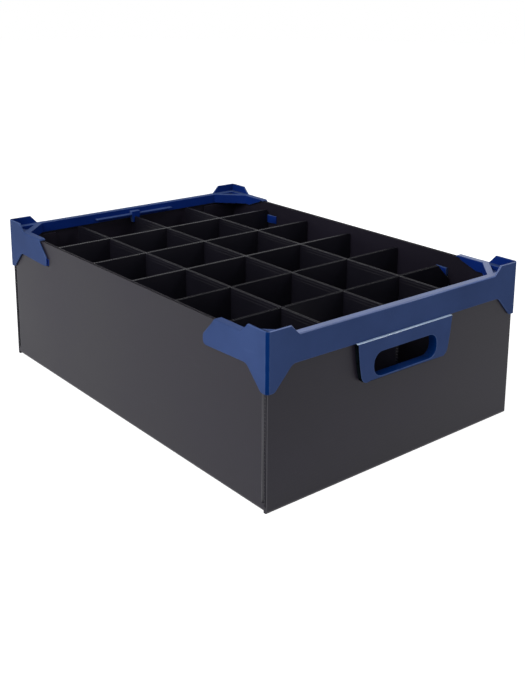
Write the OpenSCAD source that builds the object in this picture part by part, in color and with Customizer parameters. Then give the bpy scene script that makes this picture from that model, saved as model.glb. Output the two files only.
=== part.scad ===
// Stacking storage box for glassware: a folded twin-wall tray, two moulded end frames and a lattice of
// dividers. X runs along the box, Z is up, and the origin is under the middle of the base.

/* [Box] */
// Length over the end panels
box_length = 500; // [420:1:560]
// Width over the long walls
box_width = 345; // [300:1:390]
// Height of the walls above the floor
wall_height = 164; // [150:1:240]

/* [Twin-wall sheet] */
// Thickness of the sheet
sheet_t = 4; // [3:0.5:5]
// Thickness of each skin and web of the sheet
skin_t = 0.5; // [0.3:0.1:0.8]
// Distance from web to web
web_pitch = 3.7; // [3.2:0.1:6]
// Outer radius of the fold along the foot of each long wall
foot_fold_r = 4.5; // [4.5:0.5:9]
// Outer radius of the fold where a long wall turns in behind an end panel
corner_fold_r = 3.5; // [2:0.5:5]
// Outer radius of the tight fold under each end panel
end_fold_r = 1.5; // [0.5:0.5:3]
// Length of the flaps behind the end panels
flap_length = 52; // [30:1:70]
// Gap between the top of a flap and the frame's inner skirt
flap_gap = 2.5; // [1:0.5:6]

/* [Dividers] */
// Number of compartments along the box
cells_long = 6; // [4:1:7]
// Number of compartments across the box
cells_wide = 4; // [3:1:5]
// Thickness of a divider
divider_t = 3; // [2:0.5:4]
// Height of the dividers' top edge above the floor
divider_top = 155; // [110:1:160]
// Clearance beside a divider in its slot
slot_gap = 0.3; // [0.1:0.1:0.6]
// Clearance between a cross divider's end and the long wall
cross_end_gap = 0.5; // [0.2:0.1:1.5]
// Clearance between a long divider's end and the frame's inner skirt
long_end_gap = 1; // [0.6:0.1:3]
// Radius of the dividers' top corners
divider_corner_r = 3; // [1:0.5:6]

/* [End frame] */
// Wall of the moulding
mould_t = 2.2; // [1.6:0.1:2.6]
// Clearance between the moulding and the sheet
fit_gap = 0.2; // [0.1:0.05:0.4]
// Radius along the outer top edge of the rail
rail_edge_r = 1.8; // [0.5:0.1:2.2]
// Depth of the outer skirt, from the rail's top
skirt_depth = 27; // [18:1:40]
// Depth of the inner skirt, from the rail's top
inner_skirt_depth = 12.5; // [8:0.5:16]

/* [Stacking lug] */
// Height of a lug above the rail
lug_height = 9.4; // [4:0.2:16]
// Length of a lug's top edge from the corner
lug_top_run = 28; // [18:1:34]
// Length of a lug at its foot
lug_foot_run = 38.5; // [36:0.5:44]
// Run from the corner to the inner edge of the diagonal land
land_run = 49; // [47:0.5:56]
// Depth of the pocket behind the diagonal land
pocket_depth = 5; // [2:0.5:7]
// Flat taken off the moulding's upright corner
corner_flat = 2.4; // [1:0.1:2.8]

/* [Gusset and wing] */
// Drop of a corner gusset below the rail's top
gusset_drop = 49.5; // [36:0.5:70]
// Width of a gusset at its tip
gusset_tip_run = 9; // [6:0.5:14]
// Run from the corner to where a gusset meets the skirt
gusset_run = 30; // [20:0.5:38]
// Length of a wing along the rail's top
wing_top_run = 78; // [56:1:82]
// Drop from the rail's top to the wing's tip
wing_tip_drop = 19.5; // [12:0.5:24]
// Fall of the wing's lower edge from the end skirt's to the tip
wing_drop = 3; // [1:0.5:6]
// Height of the clip that goes through the wall behind the wing's tip
clip_height = 8.2; // [6:0.2:9]
// Length of the clip's root. The wing's tip ends this much, and 1 mm, before the end cross divider
clip_root = 4.6; // [3.6:0.2:6]
// Length of the clip's hook past the wing's tip
clip_hook = 12; // [10:0.5:13]
// Reach of the hook beyond the inner face of the wall
clip_reach = 3.4; // [3:0.2:4.6]
// Height of the hook above the wall's window
clip_barb = 2.6; // [0.6:0.2:3]
// Length of the wall's window past the wing's tip
window_show = 3.4; // [2.4:0.2:5]

/* [Handle] */
// Width of the handle plate along its top
handle_top_width = 134; // [110:1:160]
// Width of the handle plate at its foot
handle_foot_width = 121; // [100:1:150]
// Height of the handle plate below the skirt
handle_drop = 42; // [36:1:60]
// Distance the handle plate stands proud of the skirt
handle_proud = 3; // [1:0.5:6]
// Width of the hand slot
hand_slot_width = 89; // [70:1:96]
// Height of the hand slot
hand_slot_height = 25; // [18:1:30]
// Distance from the plate's foot to the slot
hand_slot_rise = 2.8; // [2.4:0.2:10]
// Reach of the slot's sleeve beyond the inner face of the end panel
sleeve_reach = 1.4; // [0.5:0.1:2]
// Half length of the stiffening flange inside the rail
flange_reach = 58.5; // [40:0.5:70]
// Width of the stiffening flange
flange_width = 5.6; // [3:0.2:8]
// Width of the forked tongue that holds the middle divider
tongue_width = 13; // [9:0.5:18]
// Height of the forked tongue, measured down from the flange
tongue_drop = 10; // [4:0.5:14]

/* [Hidden] */

arc_steps = 4;
round_fn = 48;
far = 400;
over = 1;

half_length = box_length / 2;
half_width = box_width / 2;
inner_x = half_length - sheet_t;
inner_y = half_width - sheet_t;
channel_t = sheet_t - 2 * skin_t;
channel_w = web_pitch - skin_t;

face_x = half_length + fit_gap + mould_t;
face_y = half_width + fit_gap + mould_t;
rail_w = 2 * mould_t + 2 * fit_gap + sheet_t;
rail_under = wall_height + fit_gap;
rail_top = rail_under + mould_t;
lug_top = rail_top + lug_height;
skirt_z = rail_top - skirt_depth;
inner_skirt_z = rail_top - inner_skirt_depth;
gusset_z = rail_top - gusset_drop;
flap_top = inner_skirt_z - flap_gap;
frame_inner_x = face_x - rail_w;
frame_inner_y = face_y - rail_w;

wing_tip_z = rail_top - wing_tip_drop;
wing_root_z = skirt_z - 1;
wing_foot_z = skirt_z - wing_drop;

handle_foot_z = skirt_z - handle_drop;
handle_face_x = face_x + handle_proud;
hand_slot_z = handle_foot_z + hand_slot_rise + hand_slot_height / 2;
hand_slot_r = 10.5;
sleeve_end_x = inner_x - sleeve_reach;
flange_z = inner_skirt_z + 4;
flange_t = 2;
tongue_foot_z = flange_z - tongue_drop;

cell_x = 2 * inner_x / cells_long;
cell_y = 2 * inner_y / cells_wide;
long_end_x = frame_inner_x - long_end_gap;
cross_end_y = inner_y - cross_end_gap;
halving_z = (sheet_t + divider_top) / 2;
channel_foot_z = max(2 * foot_fold_r, foot_fold_r + sheet_t) + 1;

tip_x = inner_x - cell_x - divider_t / 2 - 1 - clip_root;
clip_z = wing_foot_z + 0.9;
clip_top = clip_z + clip_height;
catch_y = fit_gap - inner_y;
hook_x = tip_x - clip_hook;
window_x = tip_x - window_show;

sheet_colour = [0.15, 0.15, 0.165];
divider_colour = [0.11, 0.11, 0.12];
frame_colour = [0.16, 0.23, 0.48];

function unit(v) = v / norm(v);

// The points of an arc of radius r that rounds the corner at here.
function round_corner(before, here, after, r) =
    let (
        u = unit(before - here),
        w = unit(after - here),
        half = acos(u * w) / 2,
        centre = here + unit(u + w) * r / sin(half),
        first = here + u * r / tan(half) - centre,
        last = here + w * r / tan(half) - centre,
        turn_way = first.x * last.y - first.y * last.x > 0 ? 1 : -1,
        start = atan2(first.y, first.x),
        turn = turn_way * (180 - 2 * half)
    )
    [
        for (i = [0 : arc_steps])
            let (a = start + turn * i / arc_steps)
            centre + r * [cos(a), sin(a)]
    ];

// An outline from corners [x, y, radius]: a radius of 0 stays sharp.
function rounded(corners) =
    let (n = len(corners))
    [
        for (i = [0 : n - 1])
            let (
                here = [corners[i].x, corners[i].y],
                before = [corners[(i + n - 1) % n].x, corners[(i + n - 1) % n].y],
                after = [corners[(i + 1) % n].x, corners[(i + 1) % n].y],
                r = corners[i][2]
            )
            each r == 0 ? [here] : round_corner(before, here, after, r)
    ];

// The same corners on the other side of the middle line, in the order that closes the outline.
function flipped(corners) = [
    for (i = [len(corners) - 1 : -1 : 0])
        [-corners[i].x, corners[i].y, corners[i][2]]
];

function box_corners(x0, x1, y0, y1, r) = [[x0, y0, r], [x1, y0, r], [x1, y1, r], [x0, y1, r]];

// Extrudes an outline in Y and Z from x0 to x1.
module along_x(x0, x1) {
    translate([x0, 0, 0]) rotate([90, 0, 90]) linear_extrude(x1 - x0) children();
}

// Extrudes an outline in X and Z from y0 to y1.
module along_y(y0, y1) {
    translate([0, y1, 0]) rotate([90, 0, 0]) linear_extrude(y1 - y0) children();
}

module along_z(z0, z1) {
    translate([0, 0, z0]) linear_extrude(z1 - z0) children();
}

module both_sides() {
    children();
    mirror([0, 1, 0]) children();
}

module both_ends() {
    children();
    mirror([1, 0, 0]) children();
}

// The hand slot's outline, grown by a margin all round.
module slot_outline(margin) {
    polygon(rounded(box_corners(
        -hand_slot_width / 2 - margin,
        hand_slot_width / 2 + margin,
        hand_slot_z - hand_slot_height / 2 - margin,
        hand_slot_z + hand_slot_height / 2 + margin,
        hand_slot_r + margin
    )));
}

// The window in a long wall that a clip goes through.
module clip_window() {
    polygon(rounded(box_corners(
        window_x,
        tip_x + clip_root + 0.6,
        clip_z - 0.6,
        clip_top + 0.6,
        1
    )));
}

// Base and the feet of both long walls, folded across the channels.
module folded_base() {
    flat_half = half_width - foot_fold_r;
    along_x(-inner_x, inner_x) difference() {
        union() {
            translate([-half_width, foot_fold_r]) square([box_width, sheet_t]);
            translate([-flat_half, 0]) square([2 * flat_half, foot_fold_r + sheet_t]);
            for (s = [-1, 1])
                translate([s * flat_half, foot_fold_r]) circle(foot_fold_r, $fn = round_fn);
        }
        union() {
            translate([-inner_y, foot_fold_r]) square([2 * inner_y, far]);
            translate([-flat_half, sheet_t]) square([2 * flat_half, far]);
            for (s = [-1, 1])
                translate([s * flat_half, foot_fold_r]) circle(foot_fold_r - sheet_t, $fn = round_fn);
        }
    }
}

// One long wall seen from above, with a flap turned in at each end.
module long_wall_plan() {
    fold_x = inner_x - corner_fold_r;
    fold_y = corner_fold_r - half_width;
    difference() {
        union() {
            translate([-inner_x, fold_y]) square([2 * inner_x, flap_length]);
            translate([-fold_x, -half_width]) square([2 * fold_x, sheet_t]);
            for (s = [-1, 1])
                translate([s * fold_x, fold_y]) circle(corner_fold_r, $fn = round_fn);
        }
        translate([sheet_t - inner_x, -inner_y]) square([2 * (inner_x - sheet_t), far]);
    }
}

// The same wall cut through its open channels.
module channelled_plan() {
    channels = floor((2 * inner_x - 2 * sheet_t) / web_pitch);
    difference() {
        long_wall_plan();
        for (i = [0 : channels - 1])
            translate([(i - channels / 2) * web_pitch + skin_t / 2, -half_width + skin_t])
                square([channel_w, channel_t]);
    }
}

module long_wall() {
    difference() {
        union() {
            along_z(foot_fold_r + sheet_t, channel_foot_z) long_wall_plan();
            along_z(channel_foot_z, wall_height) channelled_plan();
        }
        both_ends() {
            translate([inner_x - 2 * sheet_t, -inner_y, flap_top])
                cube([2 * sheet_t, flap_length + far, far]);
            along_y(-half_width - over, -inner_y + over) clip_window();
        }
    }
}

// The panel that closes one end. It butts over the folded walls, so its channels end on its upright edges.
module end_panel() {
    channels = floor((wall_height - sheet_t) / web_pitch);
    difference() {
        along_y(-half_width, half_width) difference() {
            union() {
                translate([inner_x, end_fold_r]) square([sheet_t, wall_height - end_fold_r]);
                translate([inner_x, 0]) square([sheet_t - end_fold_r, sheet_t]);
                translate([half_length - end_fold_r, end_fold_r]) circle(end_fold_r, $fn = round_fn);
            }
            for (i = [0 : channels - 1])
                translate([inner_x + skin_t, sheet_t + i * web_pitch + skin_t])
                    square([channel_t, channel_w]);
        }
        along_x(inner_x - over, half_length + over) slot_outline(mould_t + fit_gap);
    }
}

module box_body() {
    color(sheet_colour) union() {
        folded_base();
        both_sides() long_wall();
        both_ends() end_panel();
        // the flaps' feet, which the folded walls carry down to the base
        both_ends() both_sides()
            translate([inner_x - sheet_t, corner_fold_r - half_width, sheet_t])
                cube([sheet_t, flap_length, foot_fold_r]);
    }
}

// Half of the outer skirt over the end panel, from the middle to the corner: gusset, lug and rail.
function end_skirt_half() = [
    [face_y - gusset_run, skirt_z, 9],
    [face_y - gusset_tip_run, gusset_z, 5],
    [face_y, gusset_z, 0],
    [face_y, lug_top, 0],
    [face_y - lug_top_run, lug_top, 1.5],
    [face_y - lug_foot_run, rail_top - rail_edge_r, 3]
];

// The outer skirt along a long wall: gusset, wing with its slanted end, and lug.
function side_skirt() = [
    [face_x, gusset_z, 0],
    [face_x, lug_top, 0],
    [face_x - lug_top_run, lug_top, 1.5],
    [face_x - lug_foot_run, rail_top - rail_edge_r, 3],
    [face_x - wing_top_run + rail_edge_r, rail_top - rail_edge_r, 0],
    [face_x - wing_top_run, rail_top - rail_edge_r, 4],
    [tip_x, wing_tip_z, 5],
    [tip_x, wing_foot_z, 4.5],
    [face_x - gusset_run, wing_root_z, 9],
    [face_x - gusset_tip_run, gusset_z, 5]
];

// Everything that the slanted end leaves of the rail along a long wall.
function wing_keep() = [
    [face_x, rail_under - over],
    [face_x, rail_top + over],
    [face_x - wing_top_run + rail_edge_r, rail_top + over],
    [face_x - wing_top_run - 2, rail_under - over]
];

// A rail's cross-section: the land over the sheet's edge and the inner skirt. The face is at x = 0.
module rail_section(depth) {
    difference() {
        union() {
            translate([-rail_w, rail_under]) square([rail_w - rail_edge_r, mould_t]);
            translate([-rail_w, rail_under]) square([rail_w, mould_t - rail_edge_r]);
            translate([-rail_edge_r, rail_top - rail_edge_r]) circle(rail_edge_r, $fn = round_fn);
            translate([-rail_w, rail_top - depth]) square([mould_t, depth - mould_t / 2]);
        }
        translate([mould_t - rail_w, rail_under - far]) square([sheet_t + 2 * fit_gap, far]);
    }
}

module end_rail() {
    along_y(-frame_inner_y - mould_t, frame_inner_y + mould_t)
        translate([face_x, 0]) rail_section(inner_skirt_depth);
}

// The rail over a long wall, up to the wing's slanted end. Its inner skirt gets shallower on the way.
module side_rail() {
    intersection() {
        translate([0, -face_y, 0])
            rotate([90, 0, 90]) linear_extrude(far) mirror([1, 0]) rail_section(mould_t);
        along_y(-face_y, -frame_inner_y) polygon(wing_keep());
    }
    along_y(-frame_inner_y - mould_t, -frame_inner_y) polygon([
        [face_x - rail_w + mould_t, inner_skirt_z],
        [face_x - rail_w + mould_t, rail_top - mould_t / 2],
        [face_x - wing_top_run + 4, rail_top - mould_t / 2],
        [face_x - wing_top_run + 6, rail_under - 2],
        [face_x - land_run, inner_skirt_z]
    ]);
}

// A triangle in the corner, by its distances from the two outer faces.
module corner_triangle(inset, run) {
    translate([face_x, -face_y])
        polygon([[-inset, inset], [inset - run, inset], [-inset, run - inset]]);
}

// Diagonal land across the corner, with a skirt below it and a pocket behind it.
module corner_seat() {
    diagonal_t = mould_t * sqrt(2);
    pocket_run = lug_foot_run;
    difference() {
        union() {
            along_z(rail_under, rail_top) corner_triangle(mould_t / 2, land_run);
            along_z(rail_top - pocket_depth - mould_t, rail_top)
                corner_triangle(rail_w - mould_t, pocket_run + diagonal_t);
            along_z(inner_skirt_z, rail_top) difference() {
                corner_triangle(rail_w - mould_t, land_run);
                corner_triangle(rail_w - mould_t - over, land_run - diagonal_t);
            }
        }
        along_z(rail_top - pocket_depth, lug_top) corner_triangle(rail_w, pocket_run);
    }
}

// The inner part of the clip, seen from above: a hook along the inner face of the wall.
function hook_corners() = [
    [tip_x + clip_root, catch_y],
    [tip_x + clip_root, clip_reach - inner_y],
    [tip_x - 1, clip_reach - inner_y],
    [hook_x, catch_y + 1],
    [hook_x, catch_y]
];

// The clip behind the wing's tip. Its tongue slants in through the wall's window and hooks on the inside.
module clip() {
    along_z(clip_z, clip_top) polygon(concat(
        [[tip_x + clip_root, mould_t / 2 - face_y]],
        [for (i = [1 : 4]) hook_corners()[i]],
        [
            [window_x + 0.6, catch_y],
            [tip_x + 0.6, mould_t - face_y],
            [tip_x + 0.6, mould_t / 2 - face_y]
        ]
    ));
    along_z(clip_z, clip_top + clip_barb) polygon(hook_corners());
}

// The handle plate's outline, shrunk by an inset all round.
module handle_outline(inset) {
    half = [
        [handle_foot_width / 2 - inset, handle_foot_z + inset, 9],
        [handle_foot_width / 2 + 4 - inset, handle_foot_z + handle_drop / 2, 30],
        [handle_top_width / 2 - inset, skirt_z - inset, 0]
    ];
    polygon(rounded(concat(half, flipped(half))));
}

// Hollow handle plate, open at the back, with a sleeve through the end panel.
module handle() {
    along_x(handle_face_x - mould_t, handle_face_x) difference() {
        handle_outline(0);
        slot_outline(0);
    }
    along_x(half_length + fit_gap, handle_face_x) difference() {
        handle_outline(0);
        handle_outline(mould_t);
    }
    along_x(sleeve_end_x, handle_face_x) difference() {
        slot_outline(mould_t);
        slot_outline(0);
    }
}

// Flange under the rail that stiffens the grip, and a forked tongue for the middle divider.
module grip_flange() {
    root_x = frame_inner_x + mould_t / 2;
    difference() {
        union() {
            translate([frame_inner_x - flange_width, -flange_reach, flange_z])
                cube([root_x - frame_inner_x + flange_width, 2 * flange_reach, flange_t]);
            along_x(frame_inner_x - flange_width, root_x) polygon([
                [-tongue_width / 2, rail_under - 1],
                [tongue_width / 2, rail_under - 1],
                [tongue_width / 2, flange_z],
                [tongue_width / 3, tongue_foot_z],
                [-tongue_width / 3, tongue_foot_z],
                [-tongue_width / 2, flange_z]
            ]);
        }
        along_x(frame_inner_x - flange_width - over, frame_inner_x)
            translate([-divider_t / 2 - slot_gap, divider_top + slot_gap - far])
                square([divider_t + 2 * slot_gap, far]);
    }
}

module end_frame_right() {
    color(frame_colour) difference() {
        union() {
            along_x(half_length + fit_gap, face_x)
                polygon(rounded(concat(end_skirt_half(), flipped(end_skirt_half()))));
            end_rail();
            both_sides() {
                along_y(-face_y, -face_y + mould_t) polygon(rounded(side_skirt()));
                side_rail();
                corner_seat();
                clip();
            }
            handle();
            grip_flange();
        }
        along_x(frame_inner_x, handle_face_x + over) slot_outline(0);
        both_sides() along_z(0, lug_top + over) translate([face_x, -face_y]) polygon([
            [over, -over],
            [over, corner_flat],
            [0, corner_flat],
            [-corner_flat, 0],
            [-corner_flat, -over]
        ]);
    }
}

module end_frame_left() {
    mirror([1, 0, 0]) end_frame_right();
}

// A divider's outline, lying from -half to half, with slots at the crossings.
module divider_outline(half, crossings, slot_z0, slot_z1) {
    difference() {
        polygon(rounded([
            [-half, sheet_t, 0],
            [half, sheet_t, 0],
            [half, divider_top, divider_corner_r],
            [-half, divider_top, divider_corner_r]
        ]));
        for (at = crossings)
            translate([at - divider_t / 2 - slot_gap, slot_z0])
                square([divider_t + 2 * slot_gap, slot_z1 - slot_z0]);
    }
}

function spread(count, pitch) = [for (i = [1 : count - 1]) (i - count / 2) * pitch];

// Runs across the box, slotted from below so that it drops over the long dividers.
module cross_divider(i) {
    at = spread(cells_long, cell_x)[i - 1];
    color(divider_colour) along_x(at - divider_t / 2, at + divider_t / 2)
        divider_outline(cross_end_y, spread(cells_wide, cell_y), 0, halving_z + slot_gap);
}

// Runs along the box, slotted from the top.
module long_divider(i) {
    at = spread(cells_wide, cell_y)[i - 1];
    color(divider_colour) along_y(at - divider_t / 2, at + divider_t / 2)
        divider_outline(long_end_x, spread(cells_long, cell_x), halving_z, far);
}

box_body();
end_frame_right();
end_frame_left();
for (i = [1 : cells_long - 1]) cross_divider(i);
for (i = [1 : cells_wide - 1]) long_divider(i);
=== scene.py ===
from math import pi, radians

import bmesh
import bpy
from mathutils import Euler, Matrix, Vector


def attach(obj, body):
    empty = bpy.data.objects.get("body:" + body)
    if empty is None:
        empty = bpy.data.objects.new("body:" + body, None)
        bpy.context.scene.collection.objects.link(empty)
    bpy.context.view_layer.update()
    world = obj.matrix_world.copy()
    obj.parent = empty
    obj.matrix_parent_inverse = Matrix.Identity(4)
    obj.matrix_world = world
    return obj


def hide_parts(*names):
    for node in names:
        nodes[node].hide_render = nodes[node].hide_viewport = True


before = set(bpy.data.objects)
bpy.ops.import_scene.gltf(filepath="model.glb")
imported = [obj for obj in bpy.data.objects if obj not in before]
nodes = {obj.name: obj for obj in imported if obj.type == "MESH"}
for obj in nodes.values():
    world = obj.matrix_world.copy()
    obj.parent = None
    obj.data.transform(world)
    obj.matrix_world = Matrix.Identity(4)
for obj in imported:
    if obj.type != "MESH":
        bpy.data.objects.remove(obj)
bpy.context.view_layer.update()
print("stage: frame loaded")

bpy.context.scene.view_settings.view_transform = "Standard"

# camera, at the photograph's viewing angle
cameraSetup = {
    "place": (0.8697, -0.6849, 0.4779),
    "heading": 140.26,
    "down": 13.60,
    "roll": 0.50,
    "lens": 50.88,
    "shift": (-0.0126, -0.2),
}


def buildCamera(setup):
    data = bpy.data.cameras.new("productCamera")
    camera = bpy.data.objects.new("productCamera", data)
    bpy.context.scene.collection.objects.link(camera)
    turn = Euler((radians(90 - setup["down"]), 0, radians(setup["heading"] - 90))).to_matrix()
    turn = turn @ Matrix.Rotation(radians(setup["roll"]), 3, "Z")
    camera.matrix_world = Matrix.Translation(setup["place"]) @ turn.to_4x4()
    data.lens = setup["lens"]
    data.shift_x, data.shift_y = setup["shift"]
    bpy.context.scene.camera = camera


buildCamera(cameraSetup)


# small helpers for node trees
def freshMaterial(name):
    material = bpy.data.materials.new(name)
    material.use_nodes = True
    tree = material.node_tree
    tree.nodes.clear()
    return material, tree


# a socket takes another node's output or a plain value
def feed(tree, socket, value):
    if hasattr(value, "is_output"):
        tree.links.new(value, socket)
    else:
        socket.default_value = value


def addNode(tree, kind, settings=None, **sockets):
    node = tree.nodes.new(kind)
    for key, value in (settings or {}).items():
        setattr(node, key, value)
    for key, value in sockets.items():
        feed(tree, node.inputs[key.replace("_", " ")], value)
    return node


def mathNode(tree, operation, first, second):
    node = addNode(tree, "ShaderNodeMath", {"operation": operation})
    feed(tree, node.inputs[0], first)
    feed(tree, node.inputs[1], second)
    return node.outputs[0]


def rangeNode(tree, value, low, high, newLow, newHigh):
    limits = {"From_Min": low, "From_Max": high, "To_Min": newLow, "To_Max": newHigh}
    return addNode(tree, "ShaderNodeMapRange", Value=value, **limits).outputs[0]


def blendNode(tree, factor, first, second):
    node = addNode(tree, "ShaderNodeMix", {"data_type": "RGBA"}, Factor=factor)
    for socket, value in zip([k for k in node.inputs if k.type == "RGBA"], (first, second)):
        feed(tree, socket, value)
    return [k for k in node.outputs if k.type == "RGBA"][0]


def noiseNode(tree, place, scale, detail):
    spread = addNode(tree, "ShaderNodeMapping", Vector=place, Scale=scale)
    noise = addNode(tree, "ShaderNodeTexNoise", Vector=spread.outputs[0], Scale=1.0, Detail=detail)
    return noise.outputs[0]


# floor, world and lamps; a lamp has a name, place, size and power
white = (1, 1, 1, 1)
studio = {
    "floorRadius": 6,
    "floorSides": 96,
    "floorColour": (0.70, 0.70, 0.70, 1),
    "floorGlow": 0.78,
    "worldColour": (0.95, 0.97, 1.0, 1),
    "worldLevel": 0.32,
    "lamps": [
        ("keyLamp", (0.25, -1.85, 1.75), 1.8, 40),
        ("frontLamp", (1.5, -1.3, 0.25), 0.9, 5),
        ("backLamp", (0.5, 1.3, 1.7), 0.5, 9),
    ],
    "lampTarget": (0, 0, 0.1),
}


# 1 where the eye, a reflection or a clear part looks at the background, which is then white
def lookingRay(tree):
    seen = addNode(tree, "ShaderNodeLightPath").outputs
    eye = mathNode(tree, "MAXIMUM", seen["Is Camera Ray"], seen["Is Glossy Ray"])
    return mathNode(tree, "MAXIMUM", eye, seen["Is Transmission Ray"])


def buildFloor(setup):
    material, tree = freshMaterial("paleFloor")
    level = mathNode(tree, "MULTIPLY", lookingRay(tree), setup["floorGlow"])
    matte = addNode(tree, "ShaderNodeBsdfDiffuse", Color=setup["floorColour"])
    glow = addNode(tree, "ShaderNodeEmission", Color=white, Strength=level)
    both = addNode(tree, "ShaderNodeAddShader")
    feed(tree, both.inputs[0], matte.outputs[0])
    feed(tree, both.inputs[1], glow.outputs[0])
    addNode(tree, "ShaderNodeOutputMaterial", Surface=both.outputs[0])

    shape = bmesh.new()
    bmesh.ops.create_circle(shape, cap_ends=True, segments=setup["floorSides"], radius=setup["floorRadius"])
    mesh = bpy.data.meshes.new("studioFloor")
    shape.to_mesh(mesh)
    shape.free()
    mesh.materials.append(material)
    floor = bpy.data.objects.new("studioFloor", mesh)
    bpy.context.scene.collection.objects.link(floor)


def buildWorld(setup):
    world = bpy.data.worlds.new("studioWorld")
    world.use_nodes = True
    tree = world.node_tree
    tree.nodes.clear()
    looking = lookingRay(tree)
    level = addNode(
        tree, "ShaderNodeMix", {"data_type": "FLOAT"}, Factor=looking, A=setup["worldLevel"], B=1.0,
    )
    tone = blendNode(tree, looking, setup["worldColour"], white)
    sky = addNode(tree, "ShaderNodeBackground", Color=tone, Strength=level.outputs[0])
    addNode(tree, "ShaderNodeOutputWorld", Surface=sky.outputs[0])
    bpy.context.scene.world = world


def buildLamps(setup):
    for name, place, size, power in setup["lamps"]:
        data = bpy.data.lights.new(name, "AREA")
        data.shape = "DISK"
        data.size = size
        data.energy = power
        lamp = bpy.data.objects.new(name, data)
        bpy.context.scene.collection.objects.link(lamp)
        lamp.location = place
        lamp.rotation_mode = "QUATERNION"
        aim = Vector(setup["lampTarget"]) - Vector(place)
        lamp.rotation_quaternion = aim.to_track_quat("-Z", "Y")


buildFloor(studio)
buildWorld(studio)
buildLamps(studio)
print("stage: studio built")


# finishes: extruded twin-wall sheet and moulded polypropylene; the lighter edge finishes and the frame's
# extra blues are painted highlight or painted shade, as marked
# colour and scuffed: clean and rubbed; gloss: the shader's specular level
# patches and patchDepth: how fine and how strong the uneven tone is
# drag: the noise scale of marks from extrusion, low along the marks
# flutes: axis that crosses the inner webs, their pitch, and how far they print through
# wornBelow: height up to which the foot is rubbed
blackSheet = {
    "colour": (0.0128, 0.0108, 0.0182, 1), "scuffed": (0.0300, 0.0280, 0.0400, 1),
    "gloss": 0.185, "roughness": 0.42, "patches": 9.0, "patchDepth": 0.16, "wornBelow": 0.006,
}
dividerSheet = {
    "colour": (0.0080, 0.0073, 0.0120, 1), "scuffed": (0.0190, 0.0180, 0.0240, 1),
    "gloss": 0.20, "roughness": 0.42, "patches": 12.0, "patchDepth": 0.20, "wornBelow": 0.0,
}
plain = {"flutes": None, "drag": (160, 160, 160), "wornBelow": 0.0}
finishes = {
    "wall": {**blackSheet, "flutes": ("X", 0.0031, 0.00002), "drag": (420, 420, 14)},
    "panel": {**blackSheet, "flutes": ("Z", 0.0037, 0.00002), "drag": (14, 14, 420)},
    # painted highlight: a lighter, glossier sheet for the rounded folds, corners and flute rims, standing
    # in for the light caught there
    "paintedSheetEdgeHighlight": {
        "colour": (0.0225, 0.0210, 0.0290, 1), "scuffed": (0.0450, 0.0430, 0.0520, 1),
        "gloss": 0.42, "roughness": 0.38, "patches": 40.0, "patchDepth": 0.30,
        "flutes": ("Z", 0.0037, 0.00001), "drag": (420, 420, 60), "wornBelow": 0.010,
    },
    "crossDivider": {**dividerSheet, "flutes": ("Y", 0.0031, 0.00003), "drag": (420, 420, 14)},
    "longDivider": {**dividerSheet, "flutes": ("Z", 0.0031, 0.00003), "drag": (14, 14, 420)},
    # painted highlight: a lighter, glossier finish for the dividers' top edges, standing in for the light
    # caught there
    "paintedCutEdgeHighlight": {
        "colour": (0.0190, 0.0180, 0.0240, 1), "scuffed": (0.0400, 0.0390, 0.0460, 1),
        "gloss": 0.26, "roughness": 0.40, "patches": 26.0, "patchDepth": 0.35, **plain,
    },
    "moulding": {
        "colour": (0.0410, 0.0700, 0.184, 1), "scuffed": (0.0800, 0.1250, 0.280, 1),
        "gloss": 0.012, "roughness": 0.45, "patches": 16.0, "patchDepth": 0.12, **plain,
    },
    # painted shade: a dark deep blue standing in for the dark reflection on the corner chamfer and the
    # shade on the handle slot's walls
    "corner": {
        "colour": (0.0010, 0.0200, 0.110, 1), "scuffed": (0.0060, 0.0360, 0.150, 1),
        "gloss": 0.02, "roughness": 0.50, "patches": 16.0, "patchDepth": 0.12, **plain,
    },
    # painted shade: a darker blue for faces that face into the box, standing in for the shade there
    "inner": {
        "colour": (0.0040, 0.0220, 0.165, 1), "scuffed": (0.0200, 0.0480, 0.200, 1),
        "gloss": 0.05, "roughness": 0.45, "patches": 16.0, "patchDepth": 0.15, **plain,
    },
    # painted highlight: a lighter, glossier blue for the upward faces of the near frame's rail top,
    # standing in for the light reflected there
    "paintedRailHighlight": {
        "colour": (0.0740, 0.1160, 0.280, 1), "scuffed": (0.1400, 0.1900, 0.380, 1),
        "gloss": 0.34, "roughness": 0.34, "patches": 30.0, "patchDepth": 0.16, **plain,
    },
    # painted highlight: a pale, glossy blue for the handle plate's top ledge, standing in for the bright
    # line of light along it
    "paintedLedgeHighlight": {
        "colour": (0.4000, 0.5200, 0.680, 1), "scuffed": (0.5500, 0.6600, 0.780, 1),
        "gloss": 1.00, "roughness": 0.20, "patches": 60.0, "patchDepth": 0.24, **plain,
    },
    # painted shade: a near-black finish for the sunk sides of the handle plate and the underside of its
    # foot
    "hollow": {
        "colour": (0.0015, 0.0030, 0.004, 1), "scuffed": (0.0030, 0.0060, 0.008, 1),
        "gloss": 0.02, "roughness": 0.60, "patches": 30.0, "patchDepth": 0.20, **plain,
    },
}

# what all finishes share: a noise has its scale along each axis and its detail
surface = {
    "grain": ((1100, 1100, 1100), 3.0),
    "grainRise": 0.00001,
    "dragDetail": 3.0,
    "dragRise": 0.000006,
    "patchDetail": 4.0,
    "patchRange": (0.3, 0.7),
    "scratches": ((60, 900, 240), 4.0),
    "scratchRange": (0.58, 0.72, 0.0, 1.0),
    "groups": ((11, 11, 17), 2.0),
    "groupRange": (0.50, 0.68, 0.0, 0.35),
    "rubbing": ((90, 90, 90), 4.0),
    "rubRange": (0.35, 0.65, 0.15, 0.9),
    "footWear": 0.8,
    "roughSpread": 0.03,
    "wornRough": 0.12,
    "wavePeriod": 0.1 * pi,  # of a Wave texture at a scale of 1
    "webSharpness": 5.0,
    "webRough": 0.02,
    "bump": 0.6,
}


def shade(colour, factor):
    return tuple(part * factor for part in colour[:3]) + (1,)


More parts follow.
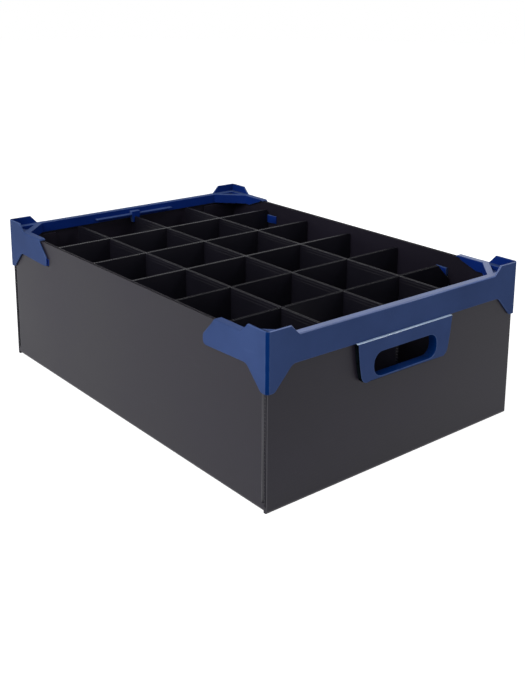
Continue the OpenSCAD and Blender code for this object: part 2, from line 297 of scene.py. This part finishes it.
def plastic(name, finish):
    material, tree = freshMaterial(name)
    place = addNode(tree, "ShaderNodeTexCoord").outputs["Object"]
    grain = noiseNode(tree, place, *surface["grain"])
    drag = noiseNode(tree, place, finish["drag"], surface["dragDetail"])
    patches = noiseNode(tree, place, (finish["patches"],) * 3, surface["patchDetail"])

    # scuffs lie in loose groups; edges that the mesh marks as worn, and the foot, have most of them
    scratch = rangeNode(tree, noiseNode(tree, place, *surface["scratches"]), *surface["scratchRange"])
    group = rangeNode(tree, noiseNode(tree, place, *surface["groups"]), *surface["groupRange"])
    scuffs = mathNode(tree, "MULTIPLY", scratch, group)
    marked = addNode(tree, "ShaderNodeAttribute", {"attribute_name": "worn"}).outputs["Fac"]
    rubbing = rangeNode(tree, noiseNode(tree, place, *surface["rubbing"]), *surface["rubRange"])
    worn = mathNode(tree, "MAXIMUM", scuffs, mathNode(tree, "MULTIPLY", marked, rubbing))
    if finish["wornBelow"]:
        height = addNode(tree, "ShaderNodeSeparateXYZ", Vector=place).outputs["Z"]
        foot = rangeNode(tree, height, 0.0, finish["wornBelow"], surface["footWear"], 0.0)
        worn = mathNode(tree, "MAXIMUM", worn, mathNode(tree, "MULTIPLY", foot, scratch))

    depth = finish["patchDepth"]
    tone = rangeNode(tree, patches, *surface["patchRange"], 0.0, 1.0)
    colour = blendNode(tree, tone, shade(finish["colour"], 1 - depth), shade(finish["colour"], 1 + depth))
    colour = blendNode(tree, worn, colour, finish["scuffed"])

    middle, spread = finish["roughness"], surface["roughSpread"]
    rough = rangeNode(tree, patches, *surface["patchRange"], middle - spread, middle + spread)
    rough = mathNode(tree, "ADD", rough, mathNode(tree, "MULTIPLY", worn, surface["wornRough"]))
    relief = mathNode(tree, "MULTIPLY", grain, surface["grainRise"])
    relief = mathNode(tree, "ADD", relief, mathNode(tree, "MULTIPLY", drag, surface["dragRise"]))
    if finish["flutes"]:
        axis, pitch, rise = finish["flutes"]
        webs = addNode(
            tree, "ShaderNodeTexWave", {"bands_direction": axis},
            Vector=place, Scale=surface["wavePeriod"] / pitch,
        ).outputs["Fac"]
        line = mathNode(tree, "POWER", webs, surface["webSharpness"])
        relief = mathNode(tree, "ADD", relief, mathNode(tree, "MULTIPLY", line, rise))
        rough = mathNode(tree, "ADD", rough, mathNode(tree, "MULTIPLY", line, surface["webRough"]))
    bump = addNode(tree, "ShaderNodeBump", Strength=surface["bump"], Distance=1.0, Height=relief)
    shader = addNode(
        tree, "ShaderNodeBsdfPrincipled",
        Base_Color=colour, Roughness=rough, Normal=bump.outputs["Normal"],
    )
    shader.inputs["Specular IOR Level"].default_value = finish["gloss"]
    addNode(tree, "ShaderNodeOutputMaterial", Surface=shader.outputs[0])
    return material


plastics = {name: plastic(name + "Plastic", finish) for name, finish in finishes.items()}
print("stage: finishes built")


# bmesh helpers shared by the pieces, and the distances that they treat as nothing
sameSpot = 0.0001
mergeGap = 0.000002
cutGap = 0.000001


def near(value, target, gap=sameSpot):
    return abs(value - target) < gap


def between(value, limits):
    return limits[0] < value < limits[1]


def finishPiece(shape, name, materials, replaced):
    bmesh.ops.remove_doubles(shape, verts=shape.verts[:], dist=mergeGap)
    bmesh.ops.recalc_face_normals(shape, faces=shape.faces[:])
    mesh = bpy.data.meshes.new(name)
    shape.to_mesh(mesh)
    shape.free()
    for finish in materials:
        mesh.materials.append(finish)
    piece = bpy.data.objects.new(name, mesh)
    bpy.context.scene.collection.objects.link(piece)
    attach(piece, "root")
    if replaced:
        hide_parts(*replaced)
    return piece


def cutAt(shape, axis, value):
    spot, normal = [0, 0, 0], [0, 0, 0]
    spot[axis], normal[axis] = value, 1
    everything = [*shape.verts, *shape.edges, *shape.faces]
    bmesh.ops.bisect_plane(shape, geom=everything, dist=cutGap, plane_co=spot, plane_no=normal)


def facesIn(shape, low, high):
    found = []
    for face in shape.faces:
        middle = face.calc_center_median()
        if all(low[k] <= middle[k] <= high[k] for k in range(3)):
            found.append(face)
    return found


# edges of a face that run mostly along an axis
def edgesAlong(face, axis, share=0.8):
    found = []
    for edge in face.edges:
        run = edge.verts[0].co - edge.verts[1].co
        if abs(run[axis]) > share * edge.calc_length():
            found.append(edge)
    return found


def mergeFlat(shape, degrees=1):
    bmesh.ops.dissolve_limit(
        shape, angle_limit=radians(degrees), verts=shape.verts[:], edges=shape.edges[:],
    )


def roundOff(shape, geom, radius, affect, steps, **more):
    return bmesh.ops.bevel(
        shape, geom=geom, offset=radius, affect=affect, segments=steps, profile=0.5, material=-1, **more,
    )["faces"]


def moveGrown(shape, grown, move):
    verts = [g for g in grown if isinstance(g, bmesh.types.BMVert)]
    bmesh.ops.translate(shape, verts=verts, vec=move)


def extrudeEdges(shape, edges, move):
    moveGrown(shape, bmesh.ops.extrude_edge_only(shape, edges=edges)["geom"], move)


def extrudeFaces(shape, faces, move):
    moveGrown(shape, bmesh.ops.extrude_face_region(shape, geom=faces)["geom"], move)


# the points of edges or faces, each once and in order
def vertsOf(parts):
    return list(dict.fromkeys(vert for part in parts for vert in part.verts))


# moves each face on its own, with walls round it
def pushFaces(shape, faces, move):
    pushed = bmesh.ops.extrude_discrete_faces(shape, faces=faces)["faces"]
    bmesh.ops.translate(shape, verts=vertsOf(pushed), vec=move)


# leaves the sheet's skin standing round each face, with its own finish, and pushes the face in
def sinkFaces(shape, faces, skin, rimFinish, move):
    around = bmesh.ops.inset_individual(shape, faces=faces, thickness=skin, depth=0)["faces"]
    for face in around:
        face.material_index = rimFinish
    pushFaces(shape, faces, move)


# opens the flutes in a cut edge: the rim is sliced into cells, and each cell is inset and pushed in
def openMouths(shape, low, high, axis, sheet):
    groups = {}
    for face in facesIn(shape, low, high):
        along = edgesAlong(face, axis)
        length = max(edge.calc_length() for edge in along)
        groups.setdefault(round(length / sheet["pitch"]), []).extend(along)
    for count, edges in groups.items():
        if count > 1:
            bmesh.ops.subdivide_edges(shape, edges=edges, cuts=count - 1, use_grid_fill=True)
    cells = facesIn(shape, low, high)
    inward = -cells[0].normal.copy()
    sinkFaces(shape, cells, sheet["skin"], sheet["rimFinish"], inward * sheet["mouthDepth"])


def drawTo(shape, vert, place):
    made = bmesh.ops.extrude_vert_indiv(shape, verts=[vert])["verts"][0]
    made.co = Vector(place)
    return made


def swing(shape, geom, centre, axis, degrees, steps):
    return bmesh.ops.spin(
        shape, geom=geom, cent=centre, axis=axis, dvec=(0, 0, 0), angle=radians(degrees), steps=steps,
        use_duplicate=False,
    )["geom_last"]


# folded tray: base, long walls and the flaps behind the end panels
tray = {
    "halfX": 0.246,
    "halfY": 0.1725,
    "top": 0.164,
    "flapTop": 0.1514,
    "flapLength": 0.052,
    "footFold": 0.0045,
    "footSteps": 6,
    "footTop": 0.0095,
    "cornerFold": 0.0035,
    "cornerSteps": 5,
    "thickness": 0.004,
    "window": (0.1545, 0.1621, 0.1367, 0.1461),  # from and to along x, then along z
    "rimReach": 0.001,  # how far off the middle of a wall's top its faces are looked for
    "foldNormal": (0.12, 0.1),  # least share towards x and y, and most towards z, of a folded corner
    "flutes": {"pitch": 0.0031, "skin": 0.00045, "mouthDepth": 0.007, "rimFinish": 0},
}


def buildTray(spec):
    shape = bmesh.new()
    fold, halfY = spec["footFold"], spec["halfY"]
    foldX = spec["halfX"] - spec["cornerFold"]

    # the section across the box is drawn at one end and stretched along it
    levels = [spec["top"], spec["flapTop"], spec["footTop"], fold]
    vert = bmesh.ops.create_vert(shape, co=(-foldX, -halfY, levels[0]))["vert"][0]
    for z in levels[1:]:
        vert = drawTo(shape, vert, (-foldX, -halfY, z))
    vert = swing(shape, [vert], (-foldX, fold - halfY, fold), (1, 0, 0), 90, spec["footSteps"])[0]
    vert = drawTo(shape, vert, (-foldX, halfY - fold, 0))
    vert = swing(shape, [vert], (-foldX, halfY - fold, fold), (1, 0, 0), 90, spec["footSteps"])[0]
    for z in reversed(levels[:-1]):
        vert = drawTo(shape, vert, (-foldX, halfY, z))
    extrudeEdges(shape, shape.edges[:], (2 * foldX, 0, 0))

    # at each end the base runs on to the panel, and the walls turn in as flaps
    for end in (-1, 1):
        foot, flaps = [], {-1: [], 1: []}
        for edge in shape.edges:
            a, b = edge.verts[0].co, edge.verts[1].co
            if not (near(a.x, end * foldX) and near(b.x, end * foldX)):
                continue
            if max(a.z, b.z) < spec["footTop"] + sameSpot:
                foot.append(edge)
            elif max(a.z, b.z) < spec["flapTop"] + sameSpot:
                flaps[1 if a.y > 0 else -1].append(edge)
        extrudeEdges(shape, foot, (end * spec["cornerFold"], 0, 0))
        for side, edges in flaps.items():
            line = vertsOf(edges) + edges
            centre = (end * foldX, side * (halfY - spec["cornerFold"]), 0)
            last = swing(shape, line, centre, (0, 0, 1), -90 * end * side, spec["cornerSteps"])
            paintedRailHighlight = [g for g in last if isinstance(g, bmesh.types.BMEdge)]
            extrudeEdges(shape, paintedRailHighlight, (0, -side * spec["flapLength"], 0))

    # windows in the long walls for the clips of the end frames
    inner, outer, low, high = spec["window"]
    for x in (-outer, -inner, inner, outer):
        cutAt(shape, 0, x)
    for z in (low, high):
        cutAt(shape, 2, z)
    holes = []
    for face in shape.faces:
        middle = face.calc_center_median()
        inWindow = between(abs(middle.x), (inner, outer)) and between(middle.z, (low, high))
        if inWindow and near(abs(middle.y), halfY):
            holes.append(face)
    bmesh.ops.delete(shape, geom=holes, context="FACES")

    bmesh.ops.recalc_face_normals(shape, faces=shape.faces[:])
    outside = min(shape.faces, key=lambda face: face.calc_center_median().z)
    if outside.normal.z > 0:
        bmesh.ops.reverse_faces(shape, faces=shape.faces[:])
    bmesh.ops.solidify(shape, geom=shape.faces[:], thickness=spec["thickness"])
    for side in (-1, 1):
        y = side * (halfY - spec["thickness"] / 2)
        lowest = (-1, y - spec["rimReach"], spec["top"] - sameSpot)
        openMouths(shape, lowest, (1, y + spec["rimReach"], 1), 0, spec["flutes"])

    # the folded corners take the lighter sheet-edge finish, a painted highlight
    turned, level = spec["foldNormal"]
    for face in shape.faces:
        n = face.normal
        folded = abs(n.z) < level and min(abs(n.x), abs(n.y)) > turned
        if folded and abs(face.calc_center_median().x) > foldX:
            face.material_index = 1
            face.smooth = True
    return finishPiece(shape, "foldedTray", [plastics["wall"], plastics["paintedSheetEdgeHighlight"]], ["box_body"])


# panel that closes an end, with the hole for the handle's sleeve and its flutes open on the upright edges
endPanel = {
    "inner": 0.246,
    "thickness": 0.004,
    "halfY": 0.1725,
    "top": 0.164,
    "footFold": 0.0015,
    "footSteps": 4,
    "hole": (0.0469, 0.0974, 0.1272),  # half width, foot and top
    "holeRadius": 0.0129,
    "holeSteps": 6,
    "edgeRound": 0.0008,
    "edgeSteps": 3,
    "mouthsFrom": 0.006,
    "seam": (0.0022, 0.0032, 0.0020),  # from and to across the edge, and depth
    # the skins round the flute mouths take the lighter sheet-edge finish, a painted highlight
    "flutes": {"pitch": 0.0037, "skin": 0.00038, "mouthDepth": 0.00045, "rimFinish": 1},
}


# an upright rectangle at x = 0, its corners rounded where a radius is given
def rectangleFace(shape, lowY, highY, lowZ, highZ, radius=0, steps=1):
    made = bmesh.ops.create_grid(shape, x_segments=1, y_segments=1, size=0.5)["verts"]
    upright = Euler((radians(90), 0, radians(90))).to_matrix()
    bmesh.ops.rotate(shape, verts=made, cent=(0, 0, 0), matrix=upright)
    bmesh.ops.scale(shape, verts=made, vec=(1, highY - lowY, highZ - lowZ))
    bmesh.ops.translate(shape, verts=made, vec=(0, (lowY + highY) / 2, (lowZ + highZ) / 2))
    if radius:
        roundOff(shape, made, radius, "VERTICES", steps)


# corners of a thin box round an upright strip of the edge
def span(xa, xb, y, lowZ):
    return (min(xa, xb), y - sameSpot, lowZ), (max(xa, xb), y + sameSpot, 1)


def buildEndPanel(spec, end):
    shape = bmesh.new()
    halfY = spec["halfY"]
    rectangleFace(shape, -halfY, halfY, 0, spec["top"])
    half, low, high = spec["hole"]
    rectangleFace(shape, -half, half, low, high, spec["holeRadius"], spec["holeSteps"])
    bmesh.ops.delete(shape, geom=shape.faces[:], context="FACES_ONLY")
    bmesh.ops.triangle_fill(shape, use_beauty=True, use_dissolve=False, edges=shape.edges[:])
    bmesh.ops.translate(shape, verts=shape.verts[:], vec=(end * spec["inner"], 0, 0))
    extrudeFaces(shape, shape.faces[:], (end * spec["thickness"], 0, 0))
    bmesh.ops.recalc_face_normals(shape, faces=shape.faces[:])
    mergeFlat(shape)

    outer = end * (spec["inner"] + spec["thickness"])
    foot = [e for e in shape.edges if all(near(v.co.x, outer) and v.co.z < sameSpot for v in e.verts)]
    roundOff(shape, foot, spec["footFold"], "EDGES", spec["footSteps"])
    corners = []
    for edge in shape.edges:
        if all(near(v.co.x, outer) and near(abs(v.co.y), halfY) for v in edge.verts):
            corners.append(edge)
    # the rounded upright corners take the lighter sheet-edge finish, a painted highlight
    for face in roundOff(shape, corners, spec["edgeRound"], "EDGES", spec["edgeSteps"]):
        face.material_index = 1

    # mouths along the inner part of each upright edge, and a sunk seam beside them
    seamFrom, seamTo, deep = spec["seam"]
    inner, middle, front = [end * (spec["inner"] + x) for x in (0, seamFrom, seamTo)]
    cutAt(shape, 0, middle)
    cutAt(shape, 0, front)
    cutAt(shape, 2, spec["mouthsFrom"])
    for side in (-1, 1):
        y = side * halfY
        openMouths(shape, *span(inner, middle, y, spec["mouthsFrom"]), 2, spec["flutes"])
        strip = facesIn(shape, *span(middle, front, y, spec["mouthsFrom"]))
        pushFaces(shape, strip, (0, -side * deep, 0))
    name = "endPanelRight" if end > 0 else "endPanelLeft"
    return finishPiece(shape, name, [plastics["panel"], plastics["paintedSheetEdgeHighlight"]], [])


# dividers: the cross ones are slotted from below, the long ones from the top
# tops: thickness of the skins at the top edge, and their finish, 0 as the sheet or 1 as the lighter
# cut-edge finish, a painted highlight on the top
dividers = {
    "thickness": 0.003,
    "foot": 0.004,
    "top": 0.155,
    "halving": 0.0795,
    "slack": 0.0003,
    "corners": (0.003, 0.003),
    "cornerCuts": {"crossDivider5": (0.006, 0.021), "crossDivider1": (0.006, 0.006)},
    "cornerSteps": 4,
    "straightCut": 0.015,  # a corner cut longer than this is straight
    "crossTops": ((0.0010, 1), (0.0007, 1), (0.0010, 0), (0.0004, 0), (0.0003, 0)),
    "longTops": ((0.0009, 0), (0.0009, 0), (0.0009, 1)),
    "crossHalf": 0.168,
    "longHalf": 0.2426,
    "cellX": 0.082,
    "cellY": 0.08425,
    "flutes": {"pitch": 0.0031, "mouthDepth": 0.003},
    "endFlutes": {"pitch": 0.0031, "skin": 0.0004, "mouthDepth": 0.006, "rimFinish": 0},
    "endTop": 0.15,
    "grooveDepth": 0.0026,
    "rib": {"rise": 0.00018, "width": 0.0005, "places": (0.0029, 0.0060), "gap": 0.00001},
}


# a sheet cut along its flutes: a groove in the top edge and the nearest webs showing through the skins
def openGroove(shape, spec, skin, rimFinish):
    tops = facesIn(shape, (-1, -1, spec["top"] - sameSpot), (1, 1, 1))
    sinkFaces(shape, tops, skin, rimFinish, (0, 0, -spec["grooveDepth"]))
    half, rib = spec["thickness"] / 2, spec["rib"]
    for place in rib["places"]:
        middle = spec["top"] - place
        for z in (middle - rib["width"], middle, middle + rib["width"]):
            cutAt(shape, 2, z)
        for vert in shape.verts:
            if near(vert.co.z, middle, rib["gap"]) and near(abs(vert.co.x), half, rib["gap"]):
                vert.co.x += rib["rise"] * (1 if vert.co.x > 0 else -1)


# every divider is made as a cross one at x = 0; a long one is turned, then both are put in place
def buildDivider(spec, kind, number, crossings, at):
    across = kind == "cross"
    name = f"{kind}Divider{number}"
    half, top = spec[kind + "Half"], spec["top"]
    skin, rimFinish = spec[kind + "Tops"][number - 1]
    shape = bmesh.new()
    rectangleFace(shape, -half, half, spec["foot"], top)

    gap = spec["thickness"] / 2 + spec["slack"]
    slotEnd = spec["halving"] + (spec["slack"] if across else 0)
    for crossing in crossings:
        cutAt(shape, 1, crossing - gap)
        cutAt(shape, 1, crossing + gap)
    cutAt(shape, 2, slotEnd)
    slots = []
    for face in shape.faces:
        middle = face.calc_center_median()
        if (middle.z < slotEnd) == across and any(abs(middle.y - c) < gap for c in crossings):
            slots.append(face)
    bmesh.ops.delete(shape, geom=slots, context="FACES")

    for side, radius in zip((-1, 1), spec["cornerCuts"].get(name, spec["corners"])):
        tip = [v for v in shape.verts if near(v.co.y, side * half) and near(v.co.z, top)]
        steps = 1 if radius > spec["straightCut"] else spec["cornerSteps"]
        roundOff(shape, tip, radius, "VERTICES", steps)
    extrudeFaces(shape, shape.faces[:], (spec["thickness"], 0, 0))
    bmesh.ops.translate(shape, verts=shape.verts[:], vec=(-spec["thickness"] / 2, 0, 0))
    bmesh.ops.recalc_face_normals(shape, faces=shape.faces[:])
    mergeFlat(shape)

    if across:
        mouths = {**spec["flutes"], "skin": skin, "rimFinish": rimFinish}
        openMouths(shape, (-1, -1, top - sameSpot), (1, 1, 1), 1, mouths)
    else:
        for side in (-1, 1):
            y = side * half
            low, high = (-1, y - sameSpot, 0), (1, y + sameSpot, spec["endTop"])
            openMouths(shape, low, high, 2, spec["endFlutes"])
        openGroove(shape, spec, skin, rimFinish)
        turn = Matrix.Rotation(radians(-90), 3, "Z")
        bmesh.ops.rotate(shape, verts=shape.verts[:], cent=(0, 0, 0), matrix=turn)
    bmesh.ops.translate(shape, verts=shape.verts[:], vec=(at, 0, 0) if across else (0, at, 0))
    finish = [plastics[kind + "Divider"], plastics["paintedCutEdgeHighlight"]]
    return finishPiece(shape, name, finish, [f"{kind}_divider_{number}"])


buildTray(tray)
for end in (-1, 1):
    buildEndPanel(endPanel, end)
print("stage: tray and end panels built")

columns = [k * dividers["cellX"] for k in (-2, -1, 0, 1, 2)]
rows = [k * dividers["cellY"] for k in (-1, 0, 1)]
for number, x in enumerate(columns, 1):
    buildDivider(dividers, "cross", number, rows, x)
for number, y in enumerate(rows, 1):
    buildDivider(dividers, "long", number, columns, y)
print("stage: dividers built")


# moulded end frames: a copy of the solid with its outer edges rounded and the plate's sides hollow
moulding = {
    "mergeGap": 0.00001,
    "flatAngle": 0.5,
    "edgeRadius": 0.0007,
    "edgeSteps": 3,
    "sharpAngle": 35,
    "shortest": 0.0003,  # a shorter edge isn't rounded
    "narrowest": 0.0012,  # nor is one beside a narrower face
    "curveAngle": (1, 32),  # a face with such bends at two of its edges is part of a curve
    "curveEdges": 2,
    "curveArea": 0.00012,  # a larger face stays flat
    "footRound": 0.0019,
    "footSteps": 4,
    "footReach": 0.0002,
    "plate": {
        "back": 0.2512,
        "face": 0.2554,
        "foot": 0.0974,
        "top": 0.137,
        "sideFrom": 0.055,
        "sideNormal": (0.85, 0.1),  # least share towards y, and most towards x
        "leastSide": 0.000004,
        "hollow": 0.0045,
    },
}

# where the finishes of an end frame lie: places in metres, the others are shares of a face's normal
zones = {
    # painted shade: the sunk sides of the handle plate take the near-black hollow finish
    "hollow": {"from": 0.2504, "z": (0.0974, 0.1385), "y": (0.047, 0.07), "front": 0.255, "forward": 0.93},
    # painted shadow: the underside of the plate's foot takes the near-black hollow finish
    "under": {"from": 0.2512, "below": 0.0994, "within": 0.05, "down": -0.5},
    # painted shade: the walls of the handle slot take the dark deep blue
    "slot": {"z": (0.0984, 0.1275), "within": 0.047, "forward": 0.5},
    # painted highlight: the handle plate's top ledge
    "paintedLedgeHighlight": {"from": 0.2526, "z": (0.1388, 0.14), "up": 0.3},
    # painted dark reflection: the corner chamfer takes the dark deep blue
    "corner": {"from": 0.2495, "beyond": 0.1715, "level": 0.4, "turned": 0.2},
    # painted highlight: upward faces on the near frame's rail top
    "paintedRailHighlight": {"from": 0.222, "above": 0.1655, "within": 0.166, "up": 0.25},
    # painted shade: faces that face into the box take the darker inner blue
    "inner": {"inward": 0.3, "level": 0.35, "beyond": 0.046, "above": 0.1275},
}
# moulding is the frame's plain colour; the other finishes are painted shade or painted highlight
frameFinishes = ["moulding", "corner", "paintedRailHighlight", "paintedLedgeHighlight", "hollow", "inner"]


# the handle plate is open at its sides: the side's faces are sunk behind a thin front edge
def hollowSide(shape, plate, side):
    sideways, forward = plate["sideNormal"]
    found = []
    for face in shape.faces:
        n, middle = face.normal, face.calc_center_median()
        onPlate = between(abs(middle.x), (plate["back"], plate["face"]))
        onPlate = onPlate and between(middle.z, (plate["foot"], plate["top"]))
        upright = n.y * side > sideways and abs(n.x) < forward and face.calc_area() > plate["leastSide"]
        if onPlate and upright and middle.y * side > plate["sideFrom"]:
            found.append(face)
    if found:
        extrudeFaces(shape, found, (0, -side * plate["hollow"], 0))
        bmesh.ops.delete(shape, geom=found, context="FACES")


# the name of a face's finish; the first zone that holds it counts; every finish but moulding paints shade
# or a highlight into the colour
def finishOf(face):
    n, middle = face.normal, face.calc_center_median()
    x, y, z = abs(middle.x), abs(middle.y), middle.z
    zone = zones["hollow"]
    if x > zone["from"] and between(z, zone["z"]) and between(y, zone["y"]):
        return "hollow" if abs(n.x) < zone["forward"] or x < zone["front"] else "moulding"
    zone = zones["under"]
    if x > zone["from"] and z < zone["below"] and y < zone["within"] and n.z < zone["down"]:
        return "hollow"
    zone = zones["slot"]
    if y < zone["within"] and between(z, zone["z"]):
        return "corner" if abs(n.x) < zone["forward"] else "moulding"
    zone = zones["paintedLedgeHighlight"]
    if x > zone["from"] and between(z, zone["z"]) and n.z > zone["up"]:
        return "paintedLedgeHighlight"
    zone = zones["corner"]
    turned = abs(n.z) < zone["level"] and min(abs(n.x), abs(n.y)) > zone["turned"]
    if turned and x > zone["from"] and y > zone["beyond"]:
        return "corner"
    zone = zones["paintedRailHighlight"]
    if middle.x > zone["from"] and z > zone["above"] and y < zone["within"] and n.z > zone["up"]:
        return "paintedRailHighlight"
    zone = zones["inner"]
    inward = n.x * middle.x < -zone["inward"] * x or n.y * middle.y < -zone["inward"] * y
    if inward and abs(n.z) < zone["level"] and (y > zone["beyond"] or z > zone["above"]):
        return "inner"
    return "moulding"


def buildFrame(spec, name, node):
    shape = bmesh.new()
    shape.from_mesh(nodes[node].data)
    worn = shape.faces.layers.float.new("worn")
    bmesh.ops.remove_doubles(shape, verts=shape.verts[:], dist=spec["mergeGap"])
    mergeFlat(shape, spec["flatAngle"])

    plate, reach = spec["plate"], spec["footReach"]
    foot = []
    for edge in shape.edges:
        spots = [vert.co for vert in edge.verts]
        if all(near(abs(co.x), plate["face"], reach) and co.z < plate["foot"] + reach for co in spots):
            foot.append(edge)
    roundOff(shape, foot, spec["footRound"], "EDGES", spec["footSteps"])

    sharp = []
    for edge in shape.edges:
        length = edge.calc_length()
        if not edge.is_convex or length < spec["shortest"]:
            continue
        if edge.calc_face_angle() < radians(spec["sharpAngle"]):
            continue
        if min(face.calc_area() for face in edge.link_faces) > spec["narrowest"] * length:
            sharp.append(edge)
    rounded = roundOff(shape, sharp, spec["edgeRadius"], "EDGES", spec["edgeSteps"], clamp_overlap=False)

    for face in shape.faces:
        face.smooth = False
    for face in rounded:
        face.smooth = True
        face[worn] = 1
    limits = [radians(angle) for angle in spec["curveAngle"]]
    for face in shape.faces:
        curved = [edge for edge in face.edges if between(edge.calc_face_angle(pi), limits)]
        if len(curved) >= spec["curveEdges"] and face.calc_area() < spec["curveArea"]:
            face.smooth = True
    for side in (-1, 1):
        hollowSide(shape, plate, side)
    # each face takes the plain moulding or a finish of painted shade or painted highlight
    for face in shape.faces:
        face.material_index = frameFinishes.index(finishOf(face))
    return finishPiece(shape, name, [plastics[key] for key in frameFinishes], [node])


buildFrame(moulding, "endFrameRight", "end_frame_right")
buildFrame(moulding, "endFrameLeft", "end_frame_left")
print("stage: end frames built")
